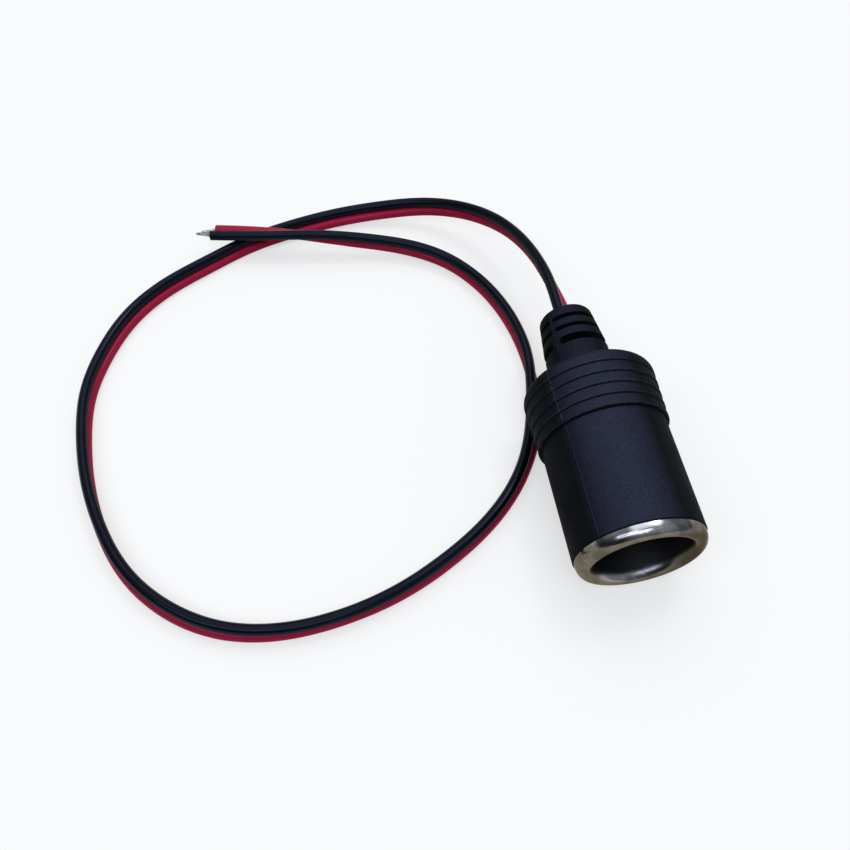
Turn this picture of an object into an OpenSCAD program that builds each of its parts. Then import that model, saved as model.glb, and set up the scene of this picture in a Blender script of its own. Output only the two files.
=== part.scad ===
// Car power socket with a two-core lead, lying on its side.
// The socket's axis runs along Y with the mouth towards -Y. Z is up and the floor is z = 0.
// Inside the modules z is the depth behind the mouth's front plane, until onFloor() lays it down.

/* [Barrel] */
// inner diameter of the well that takes the plug
well_d = 21.4; // [17.8:0.1:25.8]
// wall of the drawn steel tube
barrel_wall = 0.8; // [0.6:0.1:1.2]
// depth of the barrel from the lip to the back of its flange
barrel_len = 41; // [34:0.1:50]
// width of the rolled lip, from the well to its outer edge
lip_w = 3.9; // [3.2:0.1:4.7]
// depth of the rolled lip's round part
lip_depth = 2.5; // [1.9:0.1:3]
// hole in the barrel's inturned flange
flange_hole_d = 13; // [11:0.1:15.6]
// how far the barrel narrows round the insulating disc at the bottom of the well
bottom_step = 0.6; // [0.4:0.1:1]

/* [Moulding] */
// thickness of the sleeve round the barrel
sleeve_wall = 3.28; // [2.7:0.01:3.9]
// draft of the sleeve, lost in radius between its front and the shoulder
sleeve_draft = 0.12; // [0:0.01:0.3]
// step from the sleeve up to the shoulder
shoulder_step = 0.79; // [0.4:0.01:1.2]
// growth in radius from the shoulder's front to its back
shoulder_flare = 0.45; // [0.2:0.01:0.8]
// length of the shoulder along the axis
shoulder_len = 15.85; // [13.2:0.05:19.1]
// rounding of the shoulder's back edge
shoulder_round = 3; // [2:0.1:4]
// moulding behind the barrel, up to the shoulder's back face
back_wall = 5.55; // [5:0.05:7]
// depth of the steps between the shoulder's bands
band_depth = 0.28; // [0.1:0.01:0.5]
// distance between the shoulder's bands
band_pitch = 2.9; // [2.4:0.05:3.2]

/* [Strain relief] */
// length from the shoulder's back face to the tip
relief_len = 20.35; // [18.8:0.05:24.5]
// diameter of the neck next to the shoulder
neck_d = 15.8; // [13.4:0.1:18]
// diameter at the tip, before its rounding
tip_d = 13.2; // [11.2:0.1:15]
// rounding where the neck meets the shoulder
neck_fillet = 4; // [3:0.1:4.3]
// rounding of the tip
tip_round = 1.5; // [0.8:0.1:2.2]
// diameter left at the bottom of the slots
slot_floor_d = 9.6; // [8.4:0.1:11]
// angle of the mould's parting plane to the left of straight up
parting_angle = 47.5; // [30:0.5:60]

/* [Lead] */
// outer diameter of one insulated core
core_d = 2.75; // [2.3:0.05:3.3]
// diameter of the stranded conductor
strand_d = 1.1; // [0.9:0.05:1.4]
// length of the bare tinned end of the black core
tinned_len = 4.3; // [3:0.1:6]
// how much earlier the red insulation ends than the black
red_cut_back = 1.7; // [1:0.1:3]

/* [Contacts] */
// diameter of the centre contact's head in the well
contact_head_d = 9; // [7:0.1:10.5]
// diameter of the centre contact's shank
shank_d = 4.8; // [4:0.1:5.6]
// thickness of the insulating disc in the well
insulator_t = 2; // [1.5:0.1:3]
// distance from the barrel's outside to the edge of the insulating washer behind its flange
washer_inset = 2.3; // [2:0.05:3]
// distance of each soldered end from the axis
solder_r = 5.8; // [5.6:0.05:6]
// sheet thickness of the solder tags
tag_t = 0.5; // [0.4:0.05:0.6]

/* [Fits] */
// room between the moulding and the pieces it is moulded round
mould_gap = 0.1; // [0.05:0.01:0.2]
// radial room of the insulators in the barrel and of the shank in its holes
seat_gap = 0.1; // [0.05:0.01:0.2]

/* [Hidden] */
$fn = 96;
well_r = well_d / 2;
barrel_r = well_r + barrel_wall;
lip_r = well_r + lip_w;
lip_mid = well_r + lip_w / 2;
leg_end = lip_depth + 0.45;
sleeve_r = barrel_r + mould_gap + sleeve_wall;
front_round = 0.3;

shoulder_end = barrel_len + back_wall;
shoulder_start = shoulder_end - shoulder_len;
step_r = sleeve_r - sleeve_draft;
shoulder_front_r = step_r + shoulder_step;
shoulder_r = shoulder_front_r + shoulder_flare;
crest_z = shoulder_end - shoulder_round;

relief_end = shoulder_end + relief_len;
neck_end = relief_end - 10.9;
taper = (neck_d - tip_d) / 2 / (relief_end - neck_end);
// each slot: distance behind the shoulder's back face, width, half angle of the rail between its ends
slots = [[9.25, 2, 15], [13.15, 1.15, 8.5], [16.45, 1.2, 7]];

// lying on the front edge and on the crest of the shoulder, nose down
tilt = atan((shoulder_r - sleeve_r) / (crest_z - leg_end - front_round));
mouth_height = sleeve_r * cos(tilt) - (leg_end + front_round) * sin(tilt);
mouth_y = -(relief_end * cos(tilt) + (tip_d / 2 - tip_round - lip_mid) * sin(tilt)) / 2;

flange_front = barrel_len - barrel_wall;
insulator_front = flange_front - insulator_t;
contact_head_h = 1.7;
// the well keeps its full diameter down to here, just short of the contact's head
narrow_start = insulator_front - contact_head_h - 0.7;
narrow_end = narrow_start + 0.6;
narrow_r = well_r - bottom_step;
washer_d = 2 * (barrel_r - bottom_step - washer_inset);
washer_t = 1.2;
washer_back = barrel_len + washer_t;
tag_back = washer_back + tag_t;
rivet_back = tag_back + 0.9;
shelf_front = tag_back + 0.5;
shelf_back = shelf_front + tag_t;
riser_in = washer_d / 2 + 0.15;
core_start = relief_end - 13.9;
solder_h = 2.2;

sides = 8;
half_pair = core_d / 2;
// a thicker lead lies higher, and keeps clear of a fatter shoulder
lift = core_d - 2.75;
aside = shoulder_r - 16 + max(lift, 0);
// middle line of the lead behind the tip: x, y, z, and the turn of the black core to the right of straight up
route = [
    [-0.5, 47, 16.4, -20], [-2.5, 60.5, 14.9, -17], [-7, 73, 12.4, -10], [-15, 83.5, 9.4, 3],
    [-26, 90.5, 6.6, 15], [-39, 93.5, 4.5, 25], [-52.5, 94, 3.2, 28], [-66, 92, 2.7, 26],
    [-79, 88, 2.7, 20], [-91, 82, 2.7, 17], [-103, 75, 2.7, 19], [-113, 65.5, 2.7, 21],
    [-119.5, 54, 2.7, 19], [-123.5, 41, 2.7, 12], [-124, 27.5, 2.7, 5], [-122.5, 14, 2.7, -2],
    [-119, 1, 2.7, -9], [-113, -11.5, 2.7, -13], [-104, -21.5, 2.7, -17], [-92, -28.5, 2.7, -13],
    [-79, -31, 2.7, -5], [-65.5, -30, 2.7, -1], [-52.5, -26.5, 2.7, -5], [-40, -20.5, 2.7, -9],
    [-29, -13, 2.7, -9], [-19.5, -3, 2.7, -15], [-13, 9, 2.6, -33], [-9.5, 22, 2.6, -28],
    [-8.5, 35.5, 2.7, 4], [-10.5, 49, 2.7, 8], [-15.5, 61.5, 2.7, 4], [-24, 72, 3.1, 1],
    [-35, 78.2, 3.9, -2], [-46, 81.2, 5.1, -7], [-56, 83.4, 6.1, -25], [-66, 85.3, 6.9, -47],
    [-76, 87.1, 7.3, -70], [-90, 90, 7.2, -82]
];

// a point of the socket's axis on the floor frame, at depth z behind the mouth
function axisPoint(z) = [0, mouth_y + z * cos(tilt), mouth_height + z * sin(tilt)];
function unit(v) = v / norm(v);

// how far the second run has climbed onto the first, where the lead crosses itself
function climb(i) = i < 20 ? 0 : min(1, max(0, route[i][2] - 2.7) / 4.6);

// the lead's stations: the straight part in the relief, then the route
stations = concat(
    [for (z = [core_start, relief_end + 1]) concat(axisPoint(z), [-parting_angle])],
    [for (i = [0 : len(route) - 1])
        let (p = route[i], w = min(1, i / 4))
        [p[0] - aside * w, p[1], p[2] + lift * (w + 1.6 * climb(i)), p[3]]]
);
last = len(stations) - 1;
function spot(i) = [for (k = [0 : 2]) stations[i][k]];
function along(i) = i < 2 ? [0, cos(tilt), sin(tilt)]
    : unit(spot(min(i + 1, last)) - spot(max(i - 1, 0)));
function rightOf(t) = unit(cross(t, [0, 0, 1]));
function towardsBlack(i) = let (t = along(i), s = rightOf(t), a = stations[i][3])
    cos(a) * cross(s, t) + sin(a) * s;

// centre of a core at a station: side 1 for black and -1 for red
function coreAt(i, side, cut) = spot(i) + side * half_pair * towardsBlack(i)
    - (i == last ? cut : 0) * along(i);
function ring(c, a, b, r) = [for (k = [0 : sides - 1])
    let (w = (k + 0.5) * 360 / sides) c + r * (cos(w) * a + sin(w) * b)];

// a closed tube through rings of equal size, each one set of points
module skin(rings) {
    n = len(rings);
    polyhedron(
        points = [for (g = rings) for (p = g) p],
        faces = concat(
            [[for (k = [0 : sides - 1]) k]],
            [for (i = [0 : n - 2]) for (k = [0 : sides - 1])
                let (a = i * sides + k, b = i * sides + (k + 1) % sides)
                each [[a, a + sides, b + sides], [a, b + sides, b]]],
            [[for (k = [sides - 1 : -1 : 0]) (n - 1) * sides + k]]
        )
    );
}

module onFloor() {
    translate([0, mouth_y, mouth_height])
        rotate([tilt, 0, 0])
            rotate([-90, 0, 0])
                children();
}

// turned so that +X lies in the parting plane on the black core's side
module onParting() {
    rotate([0, 0, -90 - parting_angle])
        children();
}

// half an ellipse that opens backwards, the round of the lip
function lipArc(a, b) = [for (k = [0 : 24])
    [lip_mid - a * cos(k * 7.5), lip_depth - b * sin(k * 7.5)]];

module barrelProfile() {
    difference() {
        polygon(concat(lipArc(lip_w / 2, lip_depth),
            [[lip_r, leg_end], [well_r, leg_end]]));
        polygon(concat(lipArc(lip_w / 2 - barrel_wall, lip_depth - barrel_wall),
            [[lip_r - barrel_wall, leg_end + 1], [barrel_r, leg_end + 1]]));
    }
    polygon([[well_r, lip_depth], [barrel_r, lip_depth], [barrel_r, narrow_start],
        [narrow_r + barrel_wall, narrow_end], [narrow_r + barrel_wall, flange_front],
        [narrow_r, flange_front], [narrow_r, narrow_end], [well_r, narrow_start]]);
    translate([flange_hole_d / 2, flange_front])
        square([narrow_r - flange_hole_d / 2, barrel_wall]);
    intersection() {
        translate([narrow_r, flange_front])
            circle(barrel_wall);
        translate([narrow_r, flange_front])
            square(barrel_wall);
    }
}

// room for the barrel in the moulding
module barrelSeat() {
    polygon([[0, 0], [barrel_r + mould_gap, 0], [barrel_r + mould_gap, narrow_start],
        [narrow_r + barrel_wall + mould_gap, narrow_end],
        [narrow_r + barrel_wall + mould_gap, barrel_len + mould_gap], [0, barrel_len + mould_gap]]);
}

module barrel() {
    rotate_extrude()
        barrelProfile();
}

// outline of the moulding, from the axis outwards
module shellOutline() {
    // sleeve with its softened front edge
    polygon([[0, leg_end], [sleeve_r - front_round, leg_end],
        [sleeve_r, leg_end + front_round], [step_r, shoulder_start + 1], [0, shoulder_start + 1]]);
    // shoulder
    polygon([[0, shoulder_start], [shoulder_front_r - front_round, shoulder_start],
        [shoulder_front_r, shoulder_start + front_round], [shoulder_r, crest_z],
        [shoulder_r - shoulder_round, shoulder_end], [0, shoulder_end]]);
    translate([shoulder_r - shoulder_round, crest_z])
        circle(shoulder_round);
    // neck and tapered relief
    polygon([[0, shoulder_end - 1], [neck_d / 2, shoulder_end - 1], [neck_d / 2, neck_end],
        [tip_d / 2 + tip_round * taper, relief_end - tip_round], [0, relief_end - tip_round]]);
    translate([0, relief_end - tip_round - 1])
        square([tip_d / 2 - tip_round, tip_round + 1]);
    translate([tip_d / 2 - tip_round + tip_round * taper, relief_end - tip_round])
        circle(tip_round);
    // fillet between the neck and the shoulder's back face
    difference() {
        translate([neck_d / 2 - 1, shoulder_end - 1])
            square([neck_fillet + 1, neck_fillet + 1]);
        translate([neck_d / 2 + neck_fillet, shoulder_end + neck_fillet])
            circle(neck_fillet);
    }
}

// radius of the shoulder's crests at depth z
function crest(z) = shoulder_front_r + shoulder_flare * (z - shoulder_start) / (crest_z - shoulder_start);

// each band ends towards the mouth in a short steep step, then the next one rises slowly
module bandSteps() {
    for (k = [1 : 4]) {
        z = shoulder_start + k * band_pitch;
        polygon([[crest(z) + 1, z + 0.35], [crest(z + 0.35), z + 0.35],
            [crest(z) - band_depth, z - 0.2], [crest(z - 1.9), z - 1.9], [crest(z) + 1, z - 1.9]]);
    }
}

// a slot of one mould half: an open ring sector with round ends, centred on -Y
module slotHalf(z, w, rail) {
    span = 180 - 2 * rail;
    translate([0, 0, z - w / 2])
        rotate([0, 0, -90 - span / 2])
            rotate_extrude(angle = span)
                translate([slot_floor_d / 2, 0])
                    square([6, w]);
    for (side = [-1, 1])
        rotate([0, 0, -90 + side * span / 2])
            translate([slot_floor_d / 2 + 0.05, 0, z])
                rotate([0, 90, 0])
                    cylinder(d = w - 0.06, h = 6, $fn = 24);
}

module reliefSlots() {
    for (s = slots)
        for (turn = [0, 180])
            rotate([0, 0, turn])
                slotHalf(shoulder_end + s[0], s[1], s[2]);
}

// bare conductor: straight out of the insulation, an easy S out to solder_r, and straight to the tag
function innerSpot(u, tag) = let (w = u * u * (3 - 2 * u))
    [half_pair + (solder_r - half_pair) * w, 0, core_start - 0.4 - (core_start - 2.3 - tag) * u];
module innerEnd(d, tag) {
    steps = 8;
    spots = concat([[half_pair, 0, core_start]], [for (i = [0 : steps]) innerSpot(i / steps, tag)],
        [[solder_r, 0, tag]]);
    n = len(spots) - 1;
    skin([for (i = [0 : n])
        let (t = i == 0 || i == n ? [0, 0, -1] : unit(spots[i + 1] - spots[i - 1]))
            ring(spots[i], cross([0, 1, 0], t), [0, 1, 0], d / 2)]);
}

// cone of solder round the conductor on its tag
module solderCone(grow, tag) {
    difference() {
        translate([solder_r, 0, tag])
            cylinder(r1 = 1.5 + grow, r2 = 0.8 + grow, h = solder_h + grow);
        if (grow == 0)
            translate([solder_r, 0, tag - 1])
                cylinder(d = strand_d + 0.1, h = solder_h + 2);
    }
}

// ring under the contact's rear head, with its tongue towards the red core
module positiveTagBlank(grow) {
    translate([0, 0, washer_back])
        cylinder(r = 4.2 + grow, h = tag_t + grow);
    translate([-7.7 - grow, -1.6 - grow, washer_back])
        cube([5.7 + grow, 3.2 + 2 * grow, tag_t + grow]);
}

// strip spot-welded to the flange, up past the washer and in over it
module negativeTagBlank(grow) {
    translate([riser_in - grow, -2 - grow, barrel_len])
        cube([washer_inset - 0.35 + 2 * grow, 4 + 2 * grow, tag_t + grow]);
    translate([riser_in - grow, -2 - grow, barrel_len])
        cube([tag_t + 2 * grow, 4 + 2 * grow, shelf_back - barrel_len + grow]);
    translate([4.1 - grow, -2 - grow, shelf_front - grow])
        cube([riser_in + tag_t - 4.1 + grow, 4 + 2 * grow, tag_t + 2 * grow]);
}

module moulded_shell() {
    color([0.07, 0.07, 0.08])
        onFloor()
            difference() {
                rotate_extrude()
                    difference() {
                        shellOutline();
                        bandSteps();
                        // seat of the barrel, then of the washer and of the contact's rear head
                        barrelSeat();
                        square([washer_d / 2 + mould_gap, washer_back + mould_gap]);
                        square([3.6 + mould_gap, rivet_back + mould_gap]);
                    }
                onParting() {
                    reliefSlots();
                    positiveTagBlank(mould_gap);
                    negativeTagBlank(mould_gap);
                    solderCone(mould_gap, shelf_back);
                    innerEnd(strand_d + 2 * mould_gap, shelf_back);
                    rotate([0, 0, 180]) {
                        solderCone(mould_gap, tag_back);
                        innerEnd(strand_d + 2 * mould_gap, tag_back);
                    }
                    for (side = [-1, 1])
                        translate([side * half_pair, 0, core_start - mould_gap])
                            cylinder(d = core_d + 2 * mould_gap, h = relief_end);
                }
            }
}

module socket_barrel() {
    color([0.8, 0.79, 0.77])
        onFloor()
            barrel();
}

module front_insulator() {
    color([0.32, 0.2, 0.12])
        onFloor()
            difference() {
                union() {
                    translate([0, 0, insulator_front])
                        cylinder(r = narrow_r - seat_gap, h = insulator_t);
                    translate([0, 0, flange_front])
                        cylinder(d = flange_hole_d - 2 * seat_gap, h = barrel_wall);
                }
                cylinder(d = shank_d + 2 * seat_gap, h = barrel_len + 1);
            }
}

module centre_contact() {
    color([0.82, 0.68, 0.35])
        onFloor()
            rotate_extrude() {
                // slightly domed head, shank, and the head that is clenched behind the tag
                polygon([[0, insulator_front - contact_head_h],
                    [contact_head_d / 2 - 2, insulator_front - contact_head_h + 0.2],
                    [contact_head_d / 2 - 0.4, insulator_front - 0.9],
                    [contact_head_d / 2, insulator_front - 0.4],
                    [contact_head_d / 2, insulator_front], [0, insulator_front]]);
                translate([0, insulator_front - 0.5])
                    square([shank_d / 2, tag_back - insulator_front + 1]);
                polygon([[0, tag_back], [3.6, tag_back], [3.3, rivet_back - 0.2],
                    [2.4, rivet_back], [0, rivet_back]]);
            }
}

module rear_insulator() {
    color([0.32, 0.2, 0.12])
        onFloor()
            translate([0, 0, barrel_len])
                difference() {
                    cylinder(d = washer_d, h = washer_t);
                    translate([0, 0, -1])
                        cylinder(d = shank_d + 2 * seat_gap, h = washer_t + 2);
                }
}

module positive_tag() {
    color([0.82, 0.68, 0.35])
        onFloor()
            onParting()
                difference() {
                    positiveTagBlank(0);
                    cylinder(d = shank_d + 2 * seat_gap, h = rivet_back);
                }
}

module negative_tag() {
    color([0.75, 0.74, 0.72])
        onFloor()
            onParting()
                negativeTagBlank(0);
}

module positive_solder() {
    color([0.7, 0.7, 0.7])
        onFloor()
            onParting()
                rotate([0, 0, 180])
                    solderCone(0, tag_back);
}

module negative_solder() {
    color([0.7, 0.7, 0.7])
        onFloor()
            onParting()
                solderCone(0, shelf_back);
}

module red_inner_end() {
    color([0.75, 0.45, 0.25])
        onFloor()
            onParting()
                rotate([0, 0, 180])
                    innerEnd(strand_d, tag_back);
}

module black_inner_end() {
    color([0.75, 0.45, 0.25])
        onFloor()
            onParting()
                innerEnd(strand_d, shelf_back);
}

module insulation(side, cut) {
    skin([for (i = [0 : last])
        let (t = along(i), a = towardsBlack(i)) ring(coreAt(i, side, cut), a, cross(t, a), core_d / 2)]);
}

module black_wire() {
    color([0.05, 0.05, 0.06])
        insulation(1, 0);
}

module red_wire() {
    color([0.62, 0.06, 0.12])
        insulation(-1, red_cut_back);
}

// tinned strands that start square to the insulation and bend towards the other core
module tinnedEnd(side, cut, length, bow) {
    t = along(last);
    a = towardsBlack(last);
    b = cross(t, a);
    c = coreAt(last, side, cut);
    skin([for (k = [0 : 3])
        let (w = k / 3) ring(c + w * length * t - side * bow * w * w * a, a, b,
            strand_d / 2 * (1 - 0.35 * w * w))]);
}

module black_tinned_end() {
    color([0.75, 0.75, 0.76])
        tinnedEnd(1, 0, tinned_len, 0.5);
}

module red_tinned_end() {
    color([0.75, 0.75, 0.76])
        tinnedEnd(-1, red_cut_back, tinned_len - 0.5, 0.3);
}

moulded_shell();
socket_barrel();
front_insulator();
centre_contact();
rear_insulator();
positive_tag();
negative_tag();
positive_solder();
negative_solder();
red_inner_end();
black_inner_end();
black_wire();
red_wire();
black_tinned_end();
red_tinned_end();
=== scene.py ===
import math
import bpy
import numpy as np
from mathutils import Matrix, Vector


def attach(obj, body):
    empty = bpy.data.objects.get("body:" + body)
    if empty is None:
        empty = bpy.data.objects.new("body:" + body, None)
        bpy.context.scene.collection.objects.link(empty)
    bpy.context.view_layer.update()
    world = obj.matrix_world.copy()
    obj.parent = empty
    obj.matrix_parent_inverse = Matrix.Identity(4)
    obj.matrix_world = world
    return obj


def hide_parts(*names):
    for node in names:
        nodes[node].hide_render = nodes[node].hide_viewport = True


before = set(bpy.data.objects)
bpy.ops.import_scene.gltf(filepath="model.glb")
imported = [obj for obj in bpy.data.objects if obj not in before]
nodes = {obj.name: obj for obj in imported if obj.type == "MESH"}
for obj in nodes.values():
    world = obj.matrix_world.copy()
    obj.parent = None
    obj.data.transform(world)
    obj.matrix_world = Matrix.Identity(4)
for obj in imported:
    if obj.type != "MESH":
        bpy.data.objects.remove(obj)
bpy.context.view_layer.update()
print("frame loaded with", len(nodes), "nodes")

mm = 0.001

# the camera stands in front and to the left of the mouth and looks down
camera = {
    "place": (-58.9, -98.5, 183.8),  # mm
    "turn": 9.81,  # degrees to the right of the socket's length
    "down": 57.14,  # degrees below level
    "lens": 36.0,
    "sensor": 36.0,
    "clip": (0.005, 5.0),  # m
}


def addObject(name, data):
    # an object that carries the data, linked to the scene
    made = bpy.data.objects.new(name, data)
    bpy.context.scene.collection.objects.link(made)
    return made


def makeCamera(c):
    # the look direction is straight ahead, tipped down, then turned about Z, and the picture stays upright
    data = bpy.data.cameras.new("camera")
    data.lens, data.sensor_width = c["lens"], c["sensor"]
    data.clip_start, data.clip_end = c["clip"]
    made = addObject("camera", data)
    made.location = [v * mm for v in c["place"]]
    made.rotation_euler = (math.radians(90 - c["down"]), 0, math.radians(-c["turn"]))
    bpy.context.scene.camera = made


makeCamera(camera)
print("camera made")

# the socket as it lies, in mm; a depth is counted from the mouth along the axis
socket = {
    "mouth": (0.0, -33.33, 14.78),  # middle of the mouth
    "tilt": 1.59,  # degrees that the axis drops towards the mouth
    "tip": 66.9,  # depth of the strain relief's tip
    "leadStart": 53.0,  # depth at which the cores start inside the moulding
    "parting": 47.5,  # degrees from straight up to the parting plane, to the left
}
tiltAngle = math.radians(socket["tilt"])
axisDirection = np.array([0.0, math.cos(tiltAngle), math.sin(tiltAngle)])


def axisPoint(depth):
    # the mouth's centre plus the depth times the axis direction
    return np.array(socket["mouth"]) + depth * axisDirection


# the lead in mm: its middle line behind the tip and its turn by length from the tip, as in the part's
# source; the turn says how many degrees the black core leans to the right of straight up
lead = {
    "coreDiameter": 2.75,
    "stations": 1000,
    "around": 32,
    "fineSteps": 6000,
    "smoothOver": 17,  # stations over which turn and height are smoothed
    "aboveFloor": 0.01,
    "webRise": 0.034,  # swelling towards the other core, as a share of the radius
    "webSpread": 24,  # degrees
    "halfGap": 0.004,  # from the flat to the lead's middle
    "cutBack": {1: 1.0, -1: 2.0},  # how much earlier the black and the red insulation end
    "edgeRound": 0.12,  # rounding of the cut edge at the free end
    # rings on the cut face: the outer one's reach in roundings, the inner one's share of the radius and reach
    "cutFace": (0.8, 0.45, 0.7),
    "sharp": 50,  # degrees
    "straight": (57.5, 62.5, 67.9),  # depths of the next points on the socket's axis
    "route": [
        (-0.5, 47, 16.4), (-2.5, 60.5, 14.9), (-7, 73, 12.4), (-15, 83.5, 9.4), (-26, 90.5, 6.6),
        (-39, 93.5, 4.5), (-52.5, 94, 3.2), (-66, 92, 2.7), (-79, 88, 2.7), (-91, 82, 2.7),
        (-103, 75, 2.7), (-113, 65.5, 2.7), (-119.5, 54, 2.7), (-123.5, 41, 2.7), (-124, 27.5, 2.7),
        (-122.5, 14, 2.7), (-119, 1, 2.7), (-113, -11.5, 2.7), (-104, -21.5, 2.7), (-92, -28.5, 2.7),
        (-79, -31, 2.7), (-65.5, -30, 2.7), (-52.5, -26.5, 2.7), (-40, -20.5, 2.7), (-29, -13, 2.7),
        (-19.5, -3, 2.7), (-13, 9, 2.6), (-9.5, 22, 2.6), (-8.5, 35.5, 2.7), (-10.5, 49, 2.7),
        (-15.5, 61.5, 2.7), (-24, 72, 3.1), (-35, 78.2, 3.9), (-46, 81.2, 5.1), (-56, 83.4, 6.1),
        (-66, 85.3, 6.9), (-76, 87.1, 7.3), (-90, 90, 7.2),
    ],
    "turn": [
        (-20, -47.5), (0, -47.5), (4, -45), (8, -34), (14, -20), (24, -18), (36, -14), (47, -3), (58, 6),
        (67, 14), (76, 22), (85, 26), (94, 28), (105, 27), (120, 21), (132, 17), (150, 19), (168, 21),
        (181, 17), (195, 9), (207, 4), (218, -2), (231, -9), (243, -12), (255, -16), (262, -17),
        (272, -13), (282, -8), (292, -2), (302, -1), (312, -5), (322, -9), (338, -9), (350, -13),
        (358, -19), (365, -30), (372, -37), (378, -34), (384, -20), (390, -5), (396, 5), (406, 8),
        (418, 5), (430, 1), (444, 0), (453, -5), (462, -9), (470, -22), (477, -42), (484, -60),
        (491, -73), (497, -80), (504, -82),
    ],
}


def splineThrough(knots, values, at):
    # natural cubic spline: second derivatives from the tridiagonal system, then the cubic of each span
    knots, values = np.asarray(knots, float), np.asarray(values, float)
    n = len(knots)
    h = np.diff(knots)
    slope = np.diff(values, axis=0) / h[:, None]
    system = np.eye(n)
    inner = np.arange(1, n - 1)
    system[inner, inner - 1] = h[:-1]
    system[inner, inner] = 2 * (h[:-1] + h[1:])
    system[inner, inner + 1] = h[1:]
    right = np.zeros_like(values)
    right[1:-1] = 6 * np.diff(slope, axis=0)
    bend = np.linalg.solve(system, right)
    k = np.clip(np.searchsorted(knots, at) - 1, 0, n - 2)
    w = (at - knots[k])[:, None]
    hk = h[k][:, None]
    return (values[k] + w * (slope[k] - hk * (2 * bend[k] + bend[k + 1]) / 6)
            + w ** 2 * bend[k] / 2 + w ** 3 * (bend[k + 1] - bend[k]) / (6 * hk))


def unitRows(v):
    # each row divided by its length
    return v / np.linalg.norm(v, axis=1)[:, None]


def leadLine(c):
    # spline through the straight piece in the moulding and the route, resampled to equal steps of length;
    # the turn is read from its table by length, and the height is never less than the lead's own rest height
    straight = [axisPoint(d) for d in (socket["leadStart"], *c["straight"])]
    points = np.array(straight + [np.array(p, float) for p in c["route"]])
    knots = np.concatenate([[0], np.cumsum(np.linalg.norm(np.diff(points, axis=0), axis=1))])
    fine = splineThrough(knots, points, np.linspace(0, knots[-1], c["fineSteps"]))
    run = np.concatenate([[0], np.cumsum(np.linalg.norm(np.diff(fine, axis=0), axis=1))])
    steps = np.linspace(0, run[-1], c["stations"])
    line = np.stack([np.interp(steps, run, fine[:, k]) for k in range(3)], axis=1)
    length = steps - (socket["tip"] - socket["leadStart"])
    table = np.array(c["turn"], float)
    turn = np.interp(length, table[:, 0], table[:, 1])
    kernel = np.hanning(c["smoothOver"])
    kernel /= kernel.sum()
    edge = c["smoothOver"] // 2
    turn = np.radians(np.convolve(np.pad(turn, edge, mode="edge"), kernel, mode="valid"))
    rest = c["coreDiameter"] / 2 * (1 + np.cos(turn)) + c["aboveFloor"]
    height = np.pad(np.maximum(line[:, 2], rest), edge, mode="reflect", reflect_type="odd")
    line[:, 2] = np.maximum(np.convolve(height, kernel, mode="valid"), rest)
    along = unitRows(np.gradient(line, axis=0))
    side = unitRows(np.cross(along, [0, 0, 1]))
    toBlack = np.cos(turn)[:, None] * np.cross(side, along) + np.sin(turn)[:, None] * side
    return length, line, along, toBlack


def makeMesh(name, grid, uv=None):
    # rings of points become quads that close round each ring, and a pole closes each end
    n, m = grid.shape[:2]
    i, j = np.meshgrid(np.arange(n - 1), np.arange(m), indexing="ij")
    a, b = i * m + j, i * m + (j + 1) % m
    faces = np.stack([a, b, b + m, a + m], axis=-1).reshape(-1, 4).tolist()
    ring = np.arange(m)
    last = (n - 1) * m
    faces += np.stack([np.full(m, n * m), (ring + 1) % m, ring], axis=1).tolist()
    faces += np.stack([np.full(m, n * m + 1), last + ring, last + (ring + 1) % m], axis=1).tolist()
    points = np.vstack([grid.reshape(-1, 3), grid[0].mean(0), grid[-1].mean(0)])
    mesh = bpy.data.meshes.new(name)
    mesh.from_pydata((points * mm).tolist(), [], faces)
    mesh.polygons.foreach_set("use_smooth", np.ones(len(mesh.polygons), bool))
    if uv is not None:
        # each corner takes its vertex's own pair, and the last strip round the ring runs on to 1
        corner = np.zeros(len(mesh.loops), np.int32)
        mesh.loops.foreach_get("vertex_index", corner)
        pairs = np.vstack([uv.reshape(-1, 2), np.zeros((2, 2))])[corner]
        quads = (n - 1) * m
        strip = pairs[: quads * 4].reshape(n - 1, m, 4, 2)
        strip[:, -1, 1:3, 1] = 1.0
        pairs[: quads * 4] = strip.reshape(-1, 2)
        layer = mesh.uv_layers.new(name="along")
        layer.data.foreach_set("uv", pairs.astype(np.float32).ravel())
    mesh.update()
    return addObject(name, mesh)


def sharpen(piece, degrees):
    # edges between faces that turn by more than this angle stay sharp
    piece.data.set_sharp_from_angle(angle=math.radians(degrees))


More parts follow.
